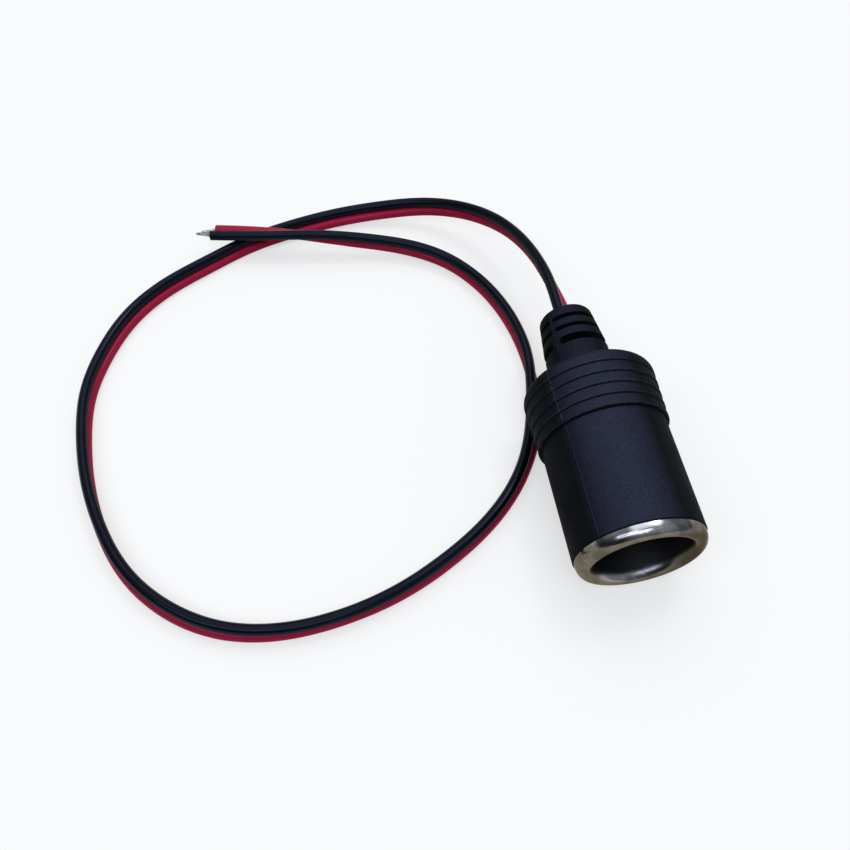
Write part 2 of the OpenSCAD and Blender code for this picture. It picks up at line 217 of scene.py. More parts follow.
def coreTube(name, c, path, side):
    # circle carried along the lead, moved half a pitch towards its own side; the circle swells into a narrow
    # web towards the other core and is cut flat in the middle; the free end is rounded off and cut square
    keep = path[0] <= path[0][-1] - c["cutBack"][side]
    length, line, along, toBlack = [part[keep] for part in path]
    r, e = c["coreDiameter"] / 2, c["edgeRound"]
    out = side * toBlack
    across = np.cross(along, out)
    centre = line + r * out
    v = np.arange(c["around"]) / c["around"]
    angle = 2 * np.pi * v
    inward = np.abs(angle - np.pi)
    web = r * (1 + c["webRise"] * np.exp(-(inward / math.radians(c["webSpread"])) ** 2))
    flat = r - c["halfGap"]
    radius = web * flat / np.maximum(web * np.cos(inward), flat)
    ring = radius[None, :, None] * (np.cos(angle)[None, :, None] * out[:, None]
                                    + np.sin(angle)[None, :, None] * across[:, None])
    # the cut end: two more rings inside the last one
    outer, share, inner = c["cutFace"]
    ends = [centre[-1] + ring[-1] * (1 - e / r) + along[-1] * e * outer,
            centre[-1] + ring[-1] * share + along[-1] * e * inner]
    grid = np.concatenate([centre[:, None] + ring, np.array(ends)])
    u = np.concatenate([length, [length[-1] + e, length[-1] + 2 * e]]) * mm
    uv = np.stack(np.broadcast_arrays(u[:, None], v[None, :]), axis=-1)
    made = makeMesh(name, grid, uv)
    sharpen(made, c["sharp"])
    return made, centre, along, out


leadPath = leadLine(lead)
blackLead, blackLine, blackAlong, blackOut = coreTube("black_lead", lead, leadPath, 1)
redLead, redLine, redAlong, redOut = coreTube("red_lead", lead, leadPath, -1)
print("lead made, length from the tip %.1f mm" % leadPath[0][-1])

# outline and slots of the moulding in mm: depth behind the mouth and radius, as in the part's source
shell = {
    "seatRadius": 11.6,
    "seatEnd": 41.1,
    "front": 2.95,
    "sleeve": (14.88, 14.764),  # radius in front and at the shoulder
    "shoulder": (30.7, 43.55),  # front, and where the back rounding starts
    "bevels": (0.3, 0.25),  # of the sleeve's and of the shoulder's front edge
    "groove": 0.2,  # fine groove that sets off the shoulder's front edge
    "crest": (15.55, 16.0),  # radius at the shoulder's first crest and at its last
    "roundings": (0, 0.1, 0.05, 0.12, 0.25, 0.06, 0.03, 0.1, 0.2),  # at the corners up to the first crest
    "bands": (33.6, 36.5, 39.4, 42.3),
    "bandDepth": 0.32,
    "bandReach": (2.1, 0.15, 0.2),  # from a band to its slope's start, its deepest line and the next crest
    "bandRounds": (1.2, 0.05, 0.1),
    "longest": 1.6,  # step between rings
    "backRound": 3.0,
    "neck": (7.9, 50.55, 4.0),  # radius, where its fillet ends, fillet
    "taper": (56.0, 65.4, 6.779),  # start, end and radius there
    "tipRound": 1.5,
    "tipRings": (4.4, 3.2, 2.0, 1.0),
    "arcSteps": 13,
    "tipSteps": 9,
    "slots": ((55.8, 2.0, 15.0), (59.7, 1.15, 8.5), (63.0, 1.2, 7.0)),  # depth, width, half angle of the rail
    "slotFloor": 4.8,
    "slotRound": 0.12,
    "slotWall": 0.05,  # how far the wall leans over its depth
    "slotLeast": 0.01,  # depth from which a slot has no parting line
    "near": (0.085, 0.055, 0.03, 0.012),  # more rings on a slot's rounded edge, by distance
    # wide rings stay this far off the first slot's middle, two slots' facing edges and the last slot's middle
    "spare": (1.4, 0.4, 1.1),
    "rowCounts": (7, 4, 5),  # wide rings on these stretches
    "rowStep": 0.1,  # between rings in a slot
    "rowLeast": 0.01,  # rings that are closer become one
    "seamAngles": (0, 0.2, 0.4, 0.6, 0.85, 1.15),  # degrees
    "railAngles": (1.6, 16.01, 0.48),  # first, limit and step
    "wideAngles": (18, 90, 2),
    "endRows": 12,  # rings over the end of the barrel's seat, which has no parting line
    "seamHeight": 0.045,
    "seamHalf": 0.13,
    "seamStep": 0.02,  # how much lower one half of the mould lies
    "seamFade": (1.2, 5.2),  # radius where the line starts and is full
    "seamMean": 0.7,
    "seamWaves": ((0.2, 3.1, 0.0), (0.1, 7.7, 1.0)),  # share, turns in radians per mm, phase
    "sharp": 42,  # degrees
}
arcShare = 0.48  # most of a side that one rounding may take
leastArc = 1e-4  # mm; a smaller one stays a sharp corner


def roundCorners(corners, steps=5):
    # each corner (depth, radius, rounding) becomes an arc that touches both of its sides
    p = np.array([c[:2] for c in corners], float)
    out = [p[0]]
    for k in range(1, len(p) - 1):
        a, b = p[k - 1] - p[k], p[k + 1] - p[k]
        la, lb = np.linalg.norm(a), np.linalg.norm(b)
        a, b = a / la, b / lb
        half = np.arccos(np.clip(a @ b, -1, 1)) / 2
        reach = min(corners[k][2] / np.tan(half), arcShare * la, arcShare * lb)
        if reach < leastArc:
            out.append(p[k])
            continue
        radius = reach * np.tan(half)
        middle = p[k] + unitRows((a + b)[None])[0] * radius / np.sin(half)
        start, end = p[k] + a * reach - middle, p[k] + b * reach - middle
        w = np.linspace(0, 1, steps)[:, None]
        arc = unitRows(start * (1 - w) + end * w) * radius
        out += list(middle + arc)
    out.append(p[-1])
    return np.array(out)


def subdivide(path, longest):
    # points are added on each straight side so that no step is longer than the limit
    out = [path[:1]]
    for a, b in zip(path[:-1], path[1:]):
        n = max(1, int(np.ceil(np.linalg.norm(b - a) / longest)))
        out.append(a + (b - a) * (np.arange(1, n + 1) / n)[:, None])
    return np.concatenate(out)


def reliefRows(c):
    # depths of the rings over neck and relief: close together at the slots' edges, even inside them
    near = np.array([c["slotRound"] + c["rowStep"], c["slotRound"], *c["near"], 0.0, -c["slotWall"]])
    slots, counts = c["slots"], c["rowCounts"]
    before, between, behind = c["spare"]
    rows = [np.linspace(c["neck"][1], slots[0][0] - before, counts[0]), np.array([c["taper"][0]])]
    for depth, width, rail in slots:
        inner = width / 2 - c["slotWall"]
        rows += [depth - width / 2 - near, depth + width / 2 + near,
                 np.linspace(depth - inner, depth + inner, int(round(width / c["rowStep"])) + 1)]
    for first, second in zip(slots[:-1], slots[1:]):
        low, high = first[0] + first[1] / 2 + between, second[0] - second[1] / 2 - between
        rows.append(np.linspace(low, high, counts[1]))
    rows.append(np.linspace(slots[-1][0] + behind, c["taper"][1], counts[2]))
    rows = np.unique(np.round(np.concatenate(rows), 4))
    return rows[np.concatenate([[True], np.diff(rows) > c["rowLeast"]])]


def quarter(steps):
    # a column of angles over a quarter turn
    return np.radians(np.linspace(0, 90, steps))[:, None]


def shellOutline(c):
    # the moulding's outline from the middle of the barrel's seat forward, round the front edge, over sleeve,
    # shoulder and relief, and back to the axis at the tip; the shoulder's crests rise on a straight line
    start, turn = c["shoulder"]
    low, high = c["crest"]
    rise = lambda z: low + (high - low) * (z - start) / (turn - start)
    seat, end, front, groove = c["seatRadius"], c["seatEnd"], c["front"], c["groove"]
    (sleeve, sleeveBack), (bevel, edge) = c["sleeve"], c["bevels"]
    path = [(end, 0.0), (end, seat), (front, seat), (front, sleeve - bevel), (front + bevel, sleeve),
            (start - groove, sleeveBack), (start, sleeveBack - groove), (start, low - edge),
            (start + edge, low)]
    slope, deepest, crest = c["bandReach"]
    for z in c["bands"]:
        path += [(z - slope, rise(z - slope)), (z - deepest, rise(z) - c["bandDepth"]),
                 (z + crest, rise(z + crest))]
    path.append((turn, high))
    roundings = [*c["roundings"], *c["bandRounds"] * len(c["bands"]), 0]
    corners = [(*place, rounding) for place, rounding in zip(path, roundings)]
    ahead = subdivide(roundCorners(corners), c["longest"])
    w, r = quarter(c["arcSteps"]), c["backRound"]
    back = np.concatenate([turn + r * np.sin(w), high - r * (1 - np.cos(w))], axis=1)
    radius, neckStart, r = c["neck"]
    hollow = np.concatenate([neckStart - r * np.cos(w), radius + r * (1 - np.sin(w))], axis=1)
    rows = reliefRows(c)[1:]
    taperStart, taperEnd, tipRadius = c["taper"]
    relief = np.stack([rows, np.interp(rows, [taperStart, taperEnd], [radius, tipRadius])], axis=1)
    w, r = quarter(c["tipSteps"]), c["tipRound"]
    tip = np.concatenate([taperEnd + r * np.sin(w), tipRadius - r * (1 - np.cos(w))], axis=1)
    face = np.array([[socket["tip"], r] for r in c["tipRings"]])
    return np.concatenate([ahead[1:], back[1:], hollow, relief, tip[1:], face])


def shellAngles(c):
    # angles from the parting plane: close together at the seam and at the slots' ends, two degrees elsewhere
    wide = [np.arange(*c[key]) for key in ("railAngles", "wideAngles")]
    fourth = np.concatenate([c["seamAngles"], *wide])
    half = np.concatenate([fourth, [90.0], 180 - fourth[::-1]])
    return np.radians(np.concatenate([half[:-1], 180 + half[:-1]]))


def slotDepth(c, depth, radius, angle):
    # each slot is a band between its rails with a round end: distance to its edge gives a rounded upper edge,
    # a steep wall and the floor at one radius
    cut = np.zeros_like(radius)
    toRail = np.abs((angle + np.pi / 2) % np.pi - np.pi / 2)
    for z, width, rail in c["slots"]:
        beyond = np.maximum(radius * np.sin(np.maximum(math.radians(rail) - toRail, 0)), 0)
        edge = np.hypot(beyond, depth - z) - width / 2
        floor = radius - c["slotFloor"]
        e, lean = c["slotRound"], c["slotWall"]
        shoulderPart = e - np.sqrt(np.maximum(e ** 2 - (e - np.clip(edge, 0, e)) ** 2, 0))
        wallPart = e + (floor - e) * np.clip(-edge / lean, 0, 1)
        cut = np.maximum(cut, np.where(edge > 0, shoulderPart, wallPart))
    return cut


def turnRound(depth, radius, angle):
    # depth along the socket's axis and radius at an angle from the upper parting line become points
    up = np.array([0.0, -math.sin(tiltAngle), math.cos(tiltAngle)])
    turn = math.radians(socket["parting"])
    first = math.cos(turn) * up - math.sin(turn) * np.array([1.0, 0, 0])
    second = np.cross(axisDirection, first)
    return (np.array(socket["mouth"]) + depth[..., None] * axisDirection
            + radius[..., None] * (np.cos(angle)[..., None] * first + np.sin(angle)[..., None] * second))


def makeShell(c):
    # the outline turned about the socket's axis; the slots are cut in towards the axis, and a fine ridge of
    # uneven height with a small step stands on the parting plane
    outline = shellOutline(c)
    angle = shellAngles(c)[None, :]
    depth, radius = outline[:, :1], np.repeat(outline[:, 1:], angle.shape[1], axis=1)
    cut = slotDepth(c, depth + 0 * angle, radius, angle + 0 * depth)
    none, full = c["seamFade"]
    beyondEnd = (np.arange(len(outline)) > c["endRows"])[:, None]
    fade = beyondEnd * np.clip((radius - none) / (full - none), 0, 1)
    seam = np.exp(-(radius * np.sin(angle) / c["seamHalf"]) ** 2)
    waves = [share * np.sin(depth * rate + phase) for share, rate, phase in c["seamWaves"]]
    height = c["seamHeight"] * (c["seamMean"] + sum(waves))
    ridge = height * seam - c["seamStep"] * (np.sin(angle) > 0) * (1 - seam)
    radius = radius - cut + np.where(cut > c["slotLeast"], 0, ridge) * fade
    made = makeMesh("moulded_body", turnRound(depth, radius, angle))
    sharpen(made, c["sharp"])
    return made


mouldedBody = makeShell(shell)
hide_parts("moulded_shell")
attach(mouldedBody, "root")
print("moulding made with", len(mouldedBody.data.polygons), "faces")

# the contact at the bottom of the well in mm: corners as depth, radius and rounding
contact = {
    "around": 96,
    "arcSteps": 7,
    "longest": 0.5,  # step between rings
    "sharp": 42,  # degrees
    "corners": [(36.68, 0.25, 0), (36.66, 0.8, 0.3), (36.5, 1.15, 0.25), (36.7, 2.5, 1.2), (37.3, 4.1, 0.8),
                (37.8, 4.5, 0.3), (38.2, 4.5, 0.03), (38.2, 2.4, 0.03), (42.7, 2.4, 0.03), (42.7, 3.6, 0.03),
                (43.4, 3.3, 0.3), (43.6, 2.4, 0.4), (43.6, 0.25, 0)],
}


def makeContact(c):
    # a rivet turned about the socket's axis: domed head with a dimple, shank, and head clenched on the tag
    outline = subdivide(roundCorners(c["corners"], c["arcSteps"]), c["longest"])
    angle = np.linspace(0, 2 * np.pi, c["around"], endpoint=False)[None, :]
    depth, radius = outline[:, :1] + 0 * angle, outline[:, 1:] + 0 * angle
    made = makeMesh("contact_rivet", turnRound(depth, radius, angle))
    sharpen(made, c["sharp"])
    return made


contactRivet = makeContact(contact)
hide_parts("centre_contact")
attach(contactRivet, "root")
print("contact made with", len(contactRivet.data.polygons), "faces")

# bare tinned strands at the free end, in mm
strands = {
    "diameter": 1.1,
    "blackLength": 4.6,
    "redLength": 4.1,
    "blackBow": 0.7,
    "redBow": 1.2,
    "lobes": 7,
    "lay": 1.1,  # radians that the strands turn over the bare length
    "around": 56,
    "steps": 60,
    "hidden": 0.12,  # share of the length that starts inside the insulation
    "earlier": (0.06, 3, 0.8),  # how much earlier a strand may end, how often that goes round, and its phase
    "closing": 0.14,  # last share of the length, over which the bundle closes
    "blunt": 0.1,  # share of the radius that is left at the end
    "lobe": (0.93, 0.09),  # radius between two strands and swell on one, as shares
    "taper": 0.35,
}


def strandEnd(name, c, centre, along, out, length, bow):
    # a tapering tube that bends towards the other core; its radius swells at each strand, the strands turn
    # along it, and each one ends a little earlier or later than the next
    w = np.linspace(-c["hidden"], 1, c["steps"])[:, None]
    angle = np.linspace(0, 2 * np.pi, c["around"], endpoint=False)[None, :]
    across = np.cross(along, out)
    most, rounds, phase = c["earlier"]
    reach = 1 - most * (1 + np.cos(rounds * angle + phase)) / 2
    q = np.clip((w / reach - 1 + c["closing"]) / c["closing"], 0, 1)
    close = np.sqrt(np.maximum(1 - q ** 2, 0)) * (1 - c["blunt"]) + c["blunt"]
    between, swell = c["lobe"]
    lobe = between + swell * np.abs(np.cos(0.5 * c["lobes"] * (angle - c["lay"] * w)))
    radius = c["diameter"] / 2 * (1 - c["taper"] * w ** 2) * lobe * close
    bend = bow * np.where(w > 0, 2 * w - w ** 2, 0)
    middle = centre + w[..., None] * length * along - bend[..., None] * out
    grid = middle + radius[..., None] * (np.cos(angle)[..., None] * out + np.sin(angle)[..., None] * across)
    u = np.broadcast_to(w * length * mm, grid.shape[:2])
    v = np.broadcast_to(angle / (2 * np.pi), grid.shape[:2])
    return makeMesh(name, grid, np.stack([u, v], axis=-1))


blackStrands = strandEnd("black_strands", strands, blackLine[-1], blackAlong[-1], blackOut[-1],
                         strands["blackLength"], strands["blackBow"])
redStrands = strandEnd("red_strands", strands, redLine[-1], redAlong[-1], redOut[-1],
                       strands["redLength"], strands["redBow"])
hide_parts("black_wire")
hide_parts("red_wire")
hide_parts("black_tinned_end")
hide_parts("red_tinned_end")
for piece, slotName in ((blackLead, "black_insulation"), (redLead, "red_insulation"),
                        (blackStrands, "tinned_copper"), (redStrands, "tinned_copper")):
    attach(piece, "root")


def addNode(tree, kind, values=None, **settings):
    # a node with its settings, then the first values of its inputs by name or number
    made = tree.nodes.new(kind)
    for key, value in settings.items():
        setattr(made, key, value)
    for key, value in (values or {}).items():
        made.inputs[key].default_value = value
    return made


def mathNode(tree, operation, a, b=None):
    # one sum on a and b, which are sockets or plain numbers
    made = addNode(tree, "ShaderNodeMath", operation=operation)
    for socketIn, value in zip(made.inputs, (a, b)):
        if isinstance(value, (int, float)):
            socketIn.default_value = value
        elif value is not None:
            tree.links.new(value, socketIn)
    return made.outputs[0]


def times(tree, a, b):
    # a multiplied by b
    return mathNode(tree, "MULTIPLY", a, b)


def mixColours(tree, mask, first, second):
    # linear blend from the first colour to the second by the mask
    made = addNode(tree, "ShaderNodeMix", data_type="RGBA")
    for k, value in ((6, first), (7, second)):
        if isinstance(value, tuple):
            made.inputs[k].default_value = (*value, 1)
        else:
            tree.links.new(value, made.inputs[k])
    tree.links.new(mask, made.inputs[0])
    return made.outputs[2]


def spread(tree, value, low, high, toLow=0.0, toHigh=1.0):
    # straight map of low..high to toLow..toHigh, held at its ends
    made = addNode(tree, "ShaderNodeMapRange",
                   {"From Min": low, "From Max": high, "To Min": toLow, "To Max": toHigh})
    tree.links.new(value, made.inputs["Value"])
    return made.outputs["Result"]


def splitVector(tree, vector):
    # the three parts of a vector
    made = addNode(tree, "ShaderNodeSeparateXYZ")
    tree.links.new(vector, made.inputs[0])
    return made.outputs


def dotWith(tree, vector, direction):
    # dot product of a vector with a fixed direction
    made = addNode(tree, "ShaderNodeVectorMath", {1: direction}, operation="DOT_PRODUCT")
    tree.links.new(vector, made.inputs[0])
    return made.outputs["Value"]


def fromMouth(tree, place):
    # place less the middle of the mouth
    mouth = [v * mm for v in socket["mouth"]]
    made = addNode(tree, "ShaderNodeVectorMath", {1: mouth}, operation="SUBTRACT")
    tree.links.new(place, made.inputs[0])
    return made.outputs[0]


def makeGroup(name, values, outputs):
    # a shader group that takes a vector and named numbers with their first values, and gives numbers
    group = bpy.data.node_groups.new(name, "ShaderNodeTree")
    group.interface.new_socket(name="Vector", in_out="INPUT", socket_type="NodeSocketVector")
    for label, value in values.items():
        made = group.interface.new_socket(name=label, in_out="INPUT", socket_type="NodeSocketFloat")
        made.default_value = value
    for label in outputs:
        group.interface.new_socket(name=label, in_out="OUTPUT", socket_type="NodeSocketFloat")
    return group, group.nodes.new("NodeGroupInput"), group.nodes.new("NodeGroupOutput")


def placeGroup(tree, group, vector, **values):
    # a node group in a tree, fed with a position and its first values
    made = addNode(tree, "ShaderNodeGroup", node_tree=group)
    tree.links.new(vector, made.inputs["Vector"])
    for key, value in values.items():
        made.inputs[key].default_value = value
    return made


# settings of the patterns that the materials share
pattern = {
    "speck": (0.05, 0.17),  # smallest and largest radius, in cells
    "speckEdge": 0.05,
    "ringDrift": 0.0006,  # how fast the rings change round the axis
    "raySlip": 30.0,  # how fast the rays change with depth
    "rayScale": 14.0,
}
noiseSpan = (0.3, 0.7)  # most values of a noise lie between these


def makeGrainGroup():
    # two noises with an output each: a fine even grain and a broad unevenness
    g, gin, gout = makeGroup("moulded grain", {"Scale": 2600.0, "Broad": 120.0}, ["Grain", "Cloud"])
    fine = addNode(g, "ShaderNodeTexNoise", {"Detail": 3.0, "Roughness": 0.6})
    broad = addNode(g, "ShaderNodeTexNoise", {"Detail": 4.0, "Roughness": 0.55})
    for texture, label in ((fine, "Scale"), (broad, "Broad")):
        g.links.new(gin.outputs["Vector"], texture.inputs["Vector"])
        g.links.new(gin.outputs[label], texture.inputs["Scale"])
    g.links.new(fine.outputs["Fac"], gout.inputs["Grain"])
    g.links.new(broad.outputs["Fac"], gout.inputs["Cloud"])
    return g


def makeDustGroup():
    # a cell pattern gives each cell one speck of its own size; only a few cells pass the threshold
    g, gin, gout = makeGroup("fine dust", {"Scale": 700.0, "Amount": 0.04}, ["Mask"])
    cells = addNode(g, "ShaderNodeTexVoronoi", {"Randomness": 1.0}, feature="F1")
    g.links.new(gin.outputs["Vector"], cells.inputs["Vector"])
    g.links.new(gin.outputs["Scale"], cells.inputs["Scale"])
    pick = addNode(g, "ShaderNodeSeparateColor")
    g.links.new(cells.outputs["Color"], pick.inputs[0])
    chosen = mathNode(g, "LESS_THAN", pick.outputs[0], gin.outputs["Amount"])
    size = spread(g, pick.outputs[1], 0.0, 1.0, *pattern["speck"])
    near = mathNode(g, "SUBTRACT", size, cells.outputs["Distance"])
    soft = spread(g, near, 0.0, pattern["speckEdge"])
    g.links.new(times(g, chosen, soft), gout.inputs["Mask"])
    return g


def makeLatheGroup():
    # radius and depth about the socket's axis make fine rings, the angle only lets them fade in and out; the
    # direction from the axis makes faint rays
    g, gin, gout = makeGroup("drawn rings", {"Scale": 1500.0}, ["Rings", "Depth", "Radius", "Side", "Rays"])
    level = addNode(g, "ShaderNodeVectorRotate", {"Angle": -tiltAngle}, rotation_type="X_AXIS")
    g.links.new(fromMouth(g, gin.outputs["Vector"]), level.inputs["Vector"])
    x, depth, z = splitVector(g, level.outputs[0])
    radius = mathNode(g, "SQRT", mathNode(g, "ADD", times(g, x, x), times(g, z, z)))
    angle = mathNode(g, "ABSOLUTE", mathNode(g, "ARCTAN2", x, z))
    drift = addNode(g, "ShaderNodeCombineXYZ")
    g.links.new(radius, drift.inputs[0])
    g.links.new(depth, drift.inputs[1])
    g.links.new(times(g, angle, pattern["ringDrift"]), drift.inputs[2])
    rings = addNode(g, "ShaderNodeTexNoise", {"Detail": 5.0, "Roughness": 0.7})
    g.links.new(drift.outputs[0], rings.inputs["Vector"])
    g.links.new(gin.outputs["Scale"], rings.inputs["Scale"])
    g.links.new(rings.outputs["Fac"], gout.inputs["Rings"])
    g.links.new(depth, gout.inputs["Depth"])
    g.links.new(radius, gout.inputs["Radius"])
    g.links.new(x, gout.inputs["Side"])
    spoke = addNode(g, "ShaderNodeCombineXYZ")
    g.links.new(mathNode(g, "DIVIDE", x, radius), spoke.inputs[0])
    g.links.new(mathNode(g, "DIVIDE", z, radius), spoke.inputs[1])
    g.links.new(times(g, depth, pattern["raySlip"]), spoke.inputs[2])
    rays = addNode(g, "ShaderNodeTexNoise", {"Scale": pattern["rayScale"], "Detail": 3.0, "Roughness": 0.6})
    g.links.new(spoke.outputs[0], rays.inputs["Vector"])
    g.links.new(rays.outputs["Fac"], gout.inputs["Rays"])
    return g


grainGroup, dustGroup, latheGroup = makeGrainGroup(), makeDustGroup(), makeLatheGroup()


def emptyTree(owner):
    # the node tree of a material or world, with nothing in it
    owner.use_nodes = True
    owner.node_tree.nodes.clear()
    return owner.node_tree


def newMaterial(name, shader):
    # a material with its shader's first values, and the outputs that give positions, normals and UV
    material = bpy.data.materials.new(name)
    tree = emptyTree(material)
    surface = addNode(tree, "ShaderNodeBsdfPrincipled", shader)
    out = addNode(tree, "ShaderNodeOutputMaterial")
    tree.links.new(surface.outputs[0], out.inputs["Surface"])
    return material, tree, surface, addNode(tree, "ShaderNodeTexCoord").outputs


def addBump(tree, surface, height, depth, before=None):
    # bump whose full height is the given depth in mm
    made = addNode(tree, "ShaderNodeBump", {"Strength": 1.0, "Distance": depth * mm})
    tree.links.new(height, made.inputs["Height"])
    if before is not None:
        tree.links.new(before, made.inputs["Normal"])
    tree.links.new(made.outputs[0], surface.inputs["Normal"])
    return made.outputs[0]


# in the finishes colours are linear, scales per m, and depths and limits in mm unless a note says otherwise
mouldingFinish = {
    "dark": (0.0032, 0.0034, 0.0045), "light": (0.0085, 0.009, 0.0108),
    "specular": 0.06, "tint": (0.55, 0.62, 1.0), "rough": (0.68, 0.8),
    "grainScale": 3400.0, "broadScale": 90.0, "grainDepth": 0.09,
    "speckle": (0.35, 0.65), "speckleShare": 0.6,
    # painted highlight: a bluish sheen painted into the base colour where the surface faces up and a little
    # to the left, in place of the lamps' reflection; the roughness is lower there
    "paintedHighlightDark": (0.0135, 0.015, 0.027), "paintedHighlightLight": (0.0425, 0.0465, 0.08),
    "paintedHighlightFacing": (-0.21, 0.0, 0.978), "paintedHighlightSpan": (0.75, 1.0), "paintedHighlightSmoother": 0.18,
    # along Y in m: where the painted highlight, or the rubbed wear with painted glints, start to change and
    # have, and their shares there
    "paintedHighlightAlong": (0.0145, 0.018, 1.0, 0.5),
    # rubbed wear with painted glints: on the shoulder the parting line is painted a lighter grey in broken
    # dashes, partly wear and partly light caught on its ridge
    "wearAndGlintFrom": (-0.004, -0.002, 0.1, 1.0), "wearAndGlintTo": (0.011, 0.013, 1.0, 0.2),
    "wearAndGlintScale": 900.0, "wearAndGlintGrain": (0.42, 0.58),
    "seamHalf": (0.048, 0.12), "seamHeight": 0.01, "seamWearAndGlintColour": (0.055, 0.055, 0.06),
    # rubbed crests with painted glints: the shoulder's crests are painted a lighter bluish grey, partly wear
    # and partly light caught on their edges
    "crestWearAndGlintColour": (0.045, 0.05, 0.068), "crestBehind": 0.3, "crestHalf": (0.08, 0.3),
    "crestWearAndGlintShares": (0.08, 0.45),
    "dustScale": 600.0, "dustAmount": 0.012, "dustShare": 0.5, "dustColour": (0.3, 0.3, 0.32),
}


def makeMoulding(c):
    # black soft vinyl: grain, slight clouding, a few specks, the parting line with rubbed wear and painted
    # glints on the shoulder, rubbed crests with painted glints, and a painted bluish highlight that grows
    # with how far a surface faces one fixed direction and is thinner on the strain relief
    material, tree, surface, place = newMaterial("black moulded vinyl", {
        "IOR": 1.5, "Specular IOR Level": c["specular"], "Specular Tint": (*c["tint"], 1)})
    where = place["Object"]
    grain = placeGroup(tree, grainGroup, where, Scale=c["grainScale"], Broad=c["broadScale"]).outputs
    wearAndGlintGrain = placeGroup(tree, grainGroup, where, Scale=c["wearAndGlintScale"], Broad=c["broadScale"]).outputs
    dust = placeGroup(tree, dustGroup, where, Scale=c["dustScale"], Amount=c["dustAmount"]).outputs
    depth = placeGroup(tree, latheGroup, where).outputs["Depth"]
    back = splitVector(tree, where)[1]

    share = c["speckleShare"]
    patchy = mathNode(tree, "ADD", times(tree, grain["Cloud"], 1 - share),
                      times(tree, spread(tree, grain["Grain"], *c["speckle"]), share))
    # painted highlight: the bluish sheen colours are mixed in by how far the normal faces that direction
    facing = dotWith(tree, place["Normal"], c["paintedHighlightFacing"])
    paintedHighlight = times(tree, spread(tree, facing, *c["paintedHighlightSpan"]), spread(tree, back, *c["paintedHighlightAlong"]))
    base = mixColours(tree, patchy, mixColours(tree, paintedHighlight, c["dark"], c["paintedHighlightDark"]),
                      mixColours(tree, paintedHighlight, c["light"], c["paintedHighlightLight"]))

    a = math.radians(socket["parting"])
    partingNormal = (math.cos(a), -math.sin(a) * math.sin(tiltAngle), math.sin(a) * math.cos(tiltAngle))
    aside = mathNode(tree, "ABSOLUTE", dotWith(tree, fromMouth(tree, where), partingNormal))
    seam = spread(tree, aside, c["seamHalf"][1] * mm, c["seamHalf"][0] * mm)
    # rubbed wear with painted glints: a grain mask for the lighter dashes on the seam and on the crests
    wearAndGlint = spread(tree, wearAndGlintGrain["Grain"], *c["wearAndGlintGrain"])
    onShoulder = times(tree, spread(tree, back, *c["wearAndGlintFrom"]), spread(tree, back, *c["wearAndGlintTo"]))
    base = mixColours(tree, times(tree, times(tree, seam, wearAndGlint), onShoulder), base, c["seamWearAndGlintColour"])

    # rubbed crests with painted glints: a narrow band behind each crest, broken by the wear mask
    crestWearAndGlint = 0.0
    for z in (shell["shoulder"][0], *shell["bands"]):
        away = mathNode(tree, "ABSOLUTE", mathNode(tree, "SUBTRACT", depth, (z + c["crestBehind"]) * mm))
        near = spread(tree, away, c["crestHalf"][0] * mm, c["crestHalf"][1] * mm, 1.0, 0.0)
        crestWearAndGlint = mathNode(tree, "MAXIMUM", near, crestWearAndGlint)
    crestWearAndGlint = times(tree, crestWearAndGlint, spread(tree, wearAndGlint, 0.0, 1.0, *c["crestWearAndGlintShares"]))
    base = mixColours(tree, crestWearAndGlint, base, c["crestWearAndGlintColour"])
    base = mixColours(tree, times(tree, dust["Mask"], c["dustShare"]), base, c["dustColour"])
    tree.links.new(base, surface.inputs["Base Color"])

    rough = mathNode(tree, "ADD", spread(tree, grain["Cloud"], *noiseSpan, *c["rough"]),
                     times(tree, paintedHighlight, -c["paintedHighlightSmoother"]))
    tree.links.new(rough, surface.inputs["Roughness"])
    first = addBump(tree, surface, seam, c["seamHeight"])
    addBump(tree, surface, grain["Grain"], c["grainDepth"], first)
    return material


# what both insulations share, then each one's own
vinylFinish = {
    "grainScale": 1800.0, "broadScale": 150.0, "grainDepth": 0.006,
    "lines": (60.0, 26.0, 1.0), "lineDepth": 0.03,  # changes per m along the core and per turn round it
    "side": (0.2, 0.7),  # Z of the normal up to which it is roughest, and from which it is not rougher
    "dustScale": 500.0, "dustAmount": 0.01, "dustShare": 0.5, "dustColour": (0.3, 0.29, 0.28),
}
blackFinish = {
    **vinylFinish, "dark": (0.0015, 0.0018, 0.003), "light": (0.003, 0.0035, 0.0055),
    "rough": (0.2, 0.28), "sideRougher": 0.4, "specular": 0.22, "tint": (0.5, 0.6, 1.0),
}
redFinish = {
    **vinylFinish, "dark": (0.38, 0.006, 0.045), "light": (0.48, 0.009, 0.06),
    "rough": (0.34, 0.44), "sideRougher": 0.2, "specular": 0.2, "tint": (1.0, 0.85, 0.95),
}


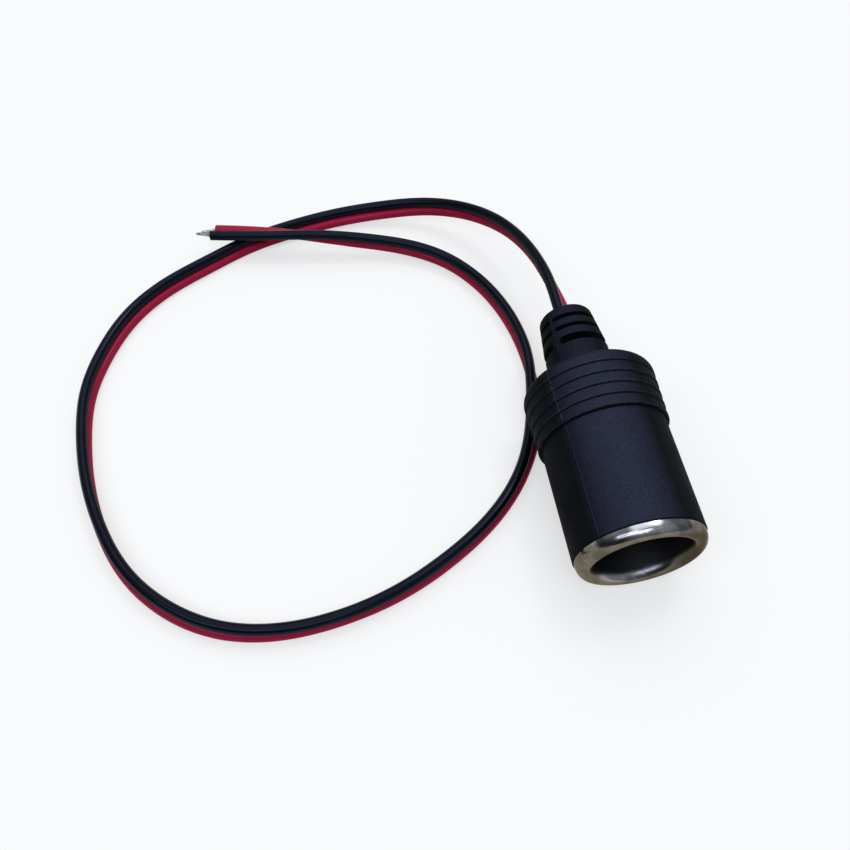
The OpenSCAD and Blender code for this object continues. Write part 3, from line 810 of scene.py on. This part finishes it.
def makeInsulation(name, c):
    # smooth vinyl drawn along the core: faint lines along it, slight clouding and dust, rougher on its sides
    material, tree, surface, place = newMaterial(name, {
        "IOR": 1.5, "Specular IOR Level": c["specular"], "Specular Tint": (*c["tint"], 1)})
    where = place["Object"]
    grain = placeGroup(tree, grainGroup, where, Scale=c["grainScale"], Broad=c["broadScale"]).outputs
    dust = placeGroup(tree, dustGroup, where, Scale=c["dustScale"], Amount=c["dustAmount"]).outputs
    noise = addNode(tree, "ShaderNodeTexNoise", {"Scale": 1.0, "Detail": 2.0})
    stretch = addNode(tree, "ShaderNodeMapping", {"Scale": c["lines"]})
    tree.links.new(place["UV"], stretch.inputs["Vector"])
    tree.links.new(stretch.outputs[0], noise.inputs["Vector"])
    lines = noise.outputs["Fac"]
    base = mixColours(tree, grain["Cloud"], c["dark"], c["light"])
    base = mixColours(tree, times(tree, dust["Mask"], c["dustShare"]), base, c["dustColour"])
    tree.links.new(base, surface.inputs["Base Color"])
    up = splitVector(tree, place["Normal"])[2]
    rough = mathNode(tree, "ADD", spread(tree, lines, *noiseSpan, *c["rough"]),
                     spread(tree, up, *c["side"], c["sideRougher"], 0.0))
    tree.links.new(rough, surface.inputs["Roughness"])
    first = addBump(tree, surface, lines, c["lineDepth"])
    addBump(tree, surface, grain["Grain"], c["grainDepth"], first)
    return material


platingFinish = {
    # painted reflection: dark and light are a darker, warmer plating for surfaces that don't face up, and the
    # upward ones get a lighter, cooler one
    "dark": (0.115, 0.1, 0.072), "light": (0.2, 0.175, 0.128), "edge": (0.6, 0.565, 0.51),
    "paintedUpReflectionDark": (0.17, 0.165, 0.175), "paintedUpReflectionLight": (0.5, 0.49, 0.52),
    "paintedUpReflectionSpan": (0.45, 0.82),  # Z of the normal where the painted lighter reflection starts and is full
    # painted shade: a warm darkening, multiplied in, that grows towards the right side of the barrel
    "paintedRightShade": (0.2, 0.17, 0.13), "paintedRightShadeSide": (3.0, 13.5), "paintedRightShadeSpan": (0.3, 0.6, 0.8, 1.0),
    # painted shade: a dark colour inside the well, by depth within the well's radius, where the plating is
    # also rougher
    "wellShadeAndDull": (0.078, 0.078, 0.083), "wellShadeAndDullDepths": (0.4, 3.0), "wellWithin": (11.2, 11.8),
    "rough": (0.12, 0.2), "ringSpan": (0.35, 0.65), "insideRough": 0.3,
    "grainScale": 2200.0, "broadScale": 260.0, "patches": (0.34, 0.62),
    "ringScale": 1400.0, "ringDepth": 0.012, "rayDepth": 0.012, "waveDepth": 0.06,
}


def makePlating(c):
    # bright plating on drawn steel: fine rings and faint rays round the axis, cloudy waves, a painted
    # reflection that is lighter where it faces up and darker and warmer elsewhere, painted shade that grows
    # to the right, and painted shade inside the well, where it is also rougher
    material, tree, surface, place = newMaterial("plated steel", {
        "Metallic": 1.0, "Specular Tint": (*c["edge"], 1)})
    where = place["Object"]
    lathe = placeGroup(tree, latheGroup, where, Scale=c["ringScale"]).outputs
    grain = placeGroup(tree, grainGroup, where, Scale=c["grainScale"], Broad=c["broadScale"]).outputs
    cloud = grain["Cloud"]
    # painted shade inside the well; the same mask makes it rougher
    wellShadeAndDull = times(tree, spread(tree, lathe["Depth"], *[v * mm for v in c["wellShadeAndDullDepths"]]),
                   spread(tree, lathe["Radius"], *[v * mm for v in c["wellWithin"]], 1.0, 0.0))
    # painted reflection: lighter and cooler colours where the plating faces up
    up = spread(tree, splitVector(tree, place["Normal"])[2], *c["paintedUpReflectionSpan"])
    base = mixColours(tree, spread(tree, cloud, *c["patches"]),
                      mixColours(tree, up, c["dark"], c["paintedUpReflectionDark"]),
                      mixColours(tree, up, c["light"], c["paintedUpReflectionLight"]))
    # painted shade: darker and warmer towards the right
    side = spread(tree, lathe["Side"], *[v * mm for v in c["paintedRightShadeSide"]])
    paintedRightShadeMix = addNode(tree, "ShaderNodeMix", {7: (*c["paintedRightShade"], 1)}, data_type="RGBA", blend_type="MULTIPLY")
    tree.links.new(times(tree, side, spread(tree, cloud, *c["paintedRightShadeSpan"])), paintedRightShadeMix.inputs[0])
    tree.links.new(base, paintedRightShadeMix.inputs[6])
    tree.links.new(mixColours(tree, wellShadeAndDull, paintedRightShadeMix.outputs[2], c["wellShadeAndDull"]), surface.inputs["Base Color"])
    rough = mathNode(tree, "ADD", spread(tree, lathe["Rings"], *c["ringSpan"], *c["rough"]),
                     times(tree, wellShadeAndDull, c["insideRough"]))
    tree.links.new(rough, surface.inputs["Roughness"])
    first = addBump(tree, surface, lathe["Rings"], c["ringDepth"])
    second = addBump(tree, surface, lathe["Rays"], c["rayDepth"], first)
    addBump(tree, surface, cloud, c["waveDepth"], second)
    return material


tinnedFinish = {
    "metal": 1.0, "first": (0.42, 0.42, 0.43), "second": (0.38, 0.28, 0.2), "span": (0.55, 0.7),
    "grainScale": 5000.0, "broadScale": 900.0, "rough": (0.15, 0.32), "depth": 0.02,
}
brassFinish = {
    "metal": 1.0, "first": (0.80, 0.62, 0.30), "second": (0.45, 0.32, 0.15), "span": (0.45, 0.7),
    "grainScale": 2500.0, "broadScale": 500.0, "rough": (0.2, 0.35), "depth": 0.02, "ringScale": 2500.0,
}
boardFinish = {
    "metal": 0.0, "first": (0.11, 0.055, 0.025), "second": (0.2, 0.11, 0.05), "span": (0.0, 1.0),
    "grainScale": 3000.0, "broadScale": 700.0, "rough": (0.45, 0.65), "depth": 0.02,
    "stretch": (1.0, 6.0, 0.25),
}
solderFinish = {
    "metal": 1.0, "first": (0.5, 0.5, 0.49), "second": (0.66, 0.66, 0.64), "span": (0.0, 1.0),
    "grainScale": 4000.0, "broadScale": 1200.0, "rough": (0.25, 0.45), "depth": 0.03,
}


def makeMottled(name, c):
    # two colours mixed by a broad noise over the given span; a fine noise moves roughness and surface, or the
    # drawn rings do where the finish gives their scale
    material, tree, surface, place = newMaterial(name, {"Metallic": c["metal"]})
    where = place["Object"]
    if "stretch" in c:
        fibre = addNode(tree, "ShaderNodeMapping", {"Scale": c["stretch"]})
        tree.links.new(where, fibre.inputs["Vector"])
        where = fibre.outputs[0]
    noise = placeGroup(tree, grainGroup, where, Scale=c["grainScale"], Broad=c["broadScale"]).outputs
    fine = noise["Grain"]
    if "ringScale" in c:
        fine = placeGroup(tree, latheGroup, where, Scale=c["ringScale"]).outputs["Rings"]
    mask = spread(tree, noise["Cloud"], *c["span"])
    tree.links.new(mixColours(tree, mask, c["first"], c["second"]), surface.inputs["Base Color"])
    tree.links.new(spread(tree, fine, *noiseSpan, *c["rough"]), surface.inputs["Roughness"])
    addBump(tree, surface, fine, c["depth"])
    return material


moulding = makeMoulding(mouldingFinish)
plating = makePlating(platingFinish)
tinned = makeMottled("tinned copper", tinnedFinish)
brass = makeMottled("contact brass", brassFinish)
board = makeMottled("insulating board", boardFinish)
solder = makeMottled("solder", solderFinish)
finishes = {
    "moulded_shell": moulding, "socket_barrel": plating, "front_insulator": board, "rear_insulator": board,
    "centre_contact": brass, "positive_tag": brass, "negative_tag": plating, "positive_solder": solder,
    "negative_solder": solder, "red_inner_end": tinned, "black_inner_end": tinned, "black_wire": moulding,
    "red_wire": moulding, "black_tinned_end": tinned, "red_tinned_end": tinned,
}


def dress(piece, material):
    # one material in place of all that the piece had
    piece.data.materials.clear()
    piece.data.materials.append(material)


for nodeName, material in finishes.items():
    dress(nodes[nodeName], material)
dress(mouldedBody, moulding)
dress(contactRivet, brass)
dress(blackLead, makeInsulation("black insulation", blackFinish))
dress(redLead, makeInsulation("red insulation", redFinish))
dress(blackStrands, tinned)
dress(redStrands, tinned)
print("materials made")

stageLook = {
    "floorSize": 3.0,
    "floorColour": (0.46, 0.45, 0.435),
    "floorLift": 0.58,  # light that the floor adds for the camera and for reflections
    "skyLow": 0.28,  # the world's strength at the horizon
    "skyHigh": 0.46,  # and overhead
    "skyFull": 0.8,  # height, as a sine, from which it is full
    "skyColour": (0.9, 0.95, 1.0),
    "darkSide": (-0.82, -0.57, 0.1),
    "darkSpan": (0.35, 0.9),  # cosine of the angle to that side where the light starts to fall and has
    "darkShare": 0.12,  # what is left of it there
    "whiteBand": (0.0, 0.12),  # heights, as sines, between which the white that reflections show fades
    "aim": (-0.03, 0.03, 0.0),  # point in m that the lamps face
}
lamps = {
    # direction from the aim, distance in m, sizes in m, direction of the long side, power in W, colour
    "back box": ((0.08, 0.36, 0.93), 1.2, (1.1, 1.1), (1, 0, 0), 4.3, (0.88, 0.94, 1.0)),
    "front strip": ((-0.31, -0.395, 0.864), 1.1, (1.15, 0.42), (0.927, -0.327, 0.185), 4.0, (0.8, 0.89, 1.0)),
    "right box": ((0.34, 0.27, 0.9), 1.0, (0.24, 0.24), (1, 0, 0), 1.0, (0.95, 0.98, 1.0)),
}


def rayMasks(tree):
    # 1 for what the camera sees, and 1 for what a reflection or a clear piece shows
    ray = addNode(tree, "ShaderNodeLightPath").outputs
    return ray["Is Camera Ray"], mathNode(tree, "MAXIMUM", ray["Is Glossy Ray"], ray["Is Transmission Ray"])


def makeFloor(c):
    # a flat square under the object; where the camera or a reflection sees it, a lift is added to its light
    half = c["floorSize"] / 2
    corners = [(-half, -half, 0), (half, -half, 0), (half, half, 0), (-half, half, 0)]
    mesh = bpy.data.meshes.new("floor")
    mesh.from_pydata(corners, [], [(0, 1, 2, 3)])
    made = addObject("floor", mesh)
    material = bpy.data.materials.new("pale floor")
    tree = emptyTree(material)
    paint = addNode(tree, "ShaderNodeBsdfDiffuse", {"Color": (*c["floorColour"], 1)})
    glow = addNode(tree, "ShaderNodeEmission", {"Color": (1, 1, 1, 1)})
    seen = mathNode(tree, "MAXIMUM", *rayMasks(tree))
    tree.links.new(times(tree, seen, c["floorLift"]), glow.inputs["Strength"])
    total = addNode(tree, "ShaderNodeAddShader")
    tree.links.new(paint.outputs[0], total.inputs[0])
    tree.links.new(glow.outputs[0], total.inputs[1])
    out = addNode(tree, "ShaderNodeOutputMaterial")
    tree.links.new(total.outputs[0], out.inputs["Surface"])
    mesh.materials.append(material)


def makeWorld(c):
    # light that grows from the horizon to overhead and is weaker in front, where the camera stands; plain
    # white where the camera looks past the floor, and reflections show that white as a band along the horizon
    world = bpy.data.worlds.new("studio")
    bpy.context.scene.world = world
    tree = emptyTree(world)
    direction = addNode(tree, "ShaderNodeTexCoord").outputs["Generated"]
    height = splitVector(tree, direction)[2]
    towards = dotWith(tree, direction, c["darkSide"])
    strength = times(tree, spread(tree, height, 0.0, c["skyFull"], c["skyLow"], c["skyHigh"]),
                     spread(tree, towards, *c["darkSpan"], 1.0, c["darkShare"]))
    sky = addNode(tree, "ShaderNodeBackground", {"Color": (*c["skyColour"], 1)})
    tree.links.new(strength, sky.inputs["Strength"])
    white = addNode(tree, "ShaderNodeBackground", {"Color": (1, 1, 1, 1), "Strength": 1.0})
    straight, mirrored = rayMasks(tree)
    band = times(tree, mirrored, spread(tree, height, *c["whiteBand"], 1.0, 0.0))
    mix = addNode(tree, "ShaderNodeMixShader")
    tree.links.new(mathNode(tree, "MAXIMUM", straight, band), mix.inputs[0])
    tree.links.new(sky.outputs[0], mix.inputs[1])
    tree.links.new(white.outputs[0], mix.inputs[2])
    out = addNode(tree, "ShaderNodeOutputWorld")
    tree.links.new(mix.outputs[0], out.inputs["Surface"])


def makeLamp(name, aim, direction, distance, size, along, power, colour):
    # a flat lamp at the distance along the direction from its aim; it faces the aim, its long side lies along
    data = bpy.data.lights.new(name, "AREA")
    data.shape, data.size, data.size_y = "RECTANGLE", *size
    data.energy, data.color = power, colour
    made = addObject(name, data)
    away = Vector(direction).normalized()
    side = away.cross(Vector(along)).normalized()
    made.location = Vector(aim) + away * distance
    made.rotation_euler = Matrix((side.cross(away), side, away)).transposed().to_euler()


makeFloor(stageLook)
makeWorld(stageLook)
for lampName, values in lamps.items():
    makeLamp(lampName, stageLook["aim"], *values)
bpy.context.scene.view_settings.view_transform = "Standard"
print("floor, world and lamps made")
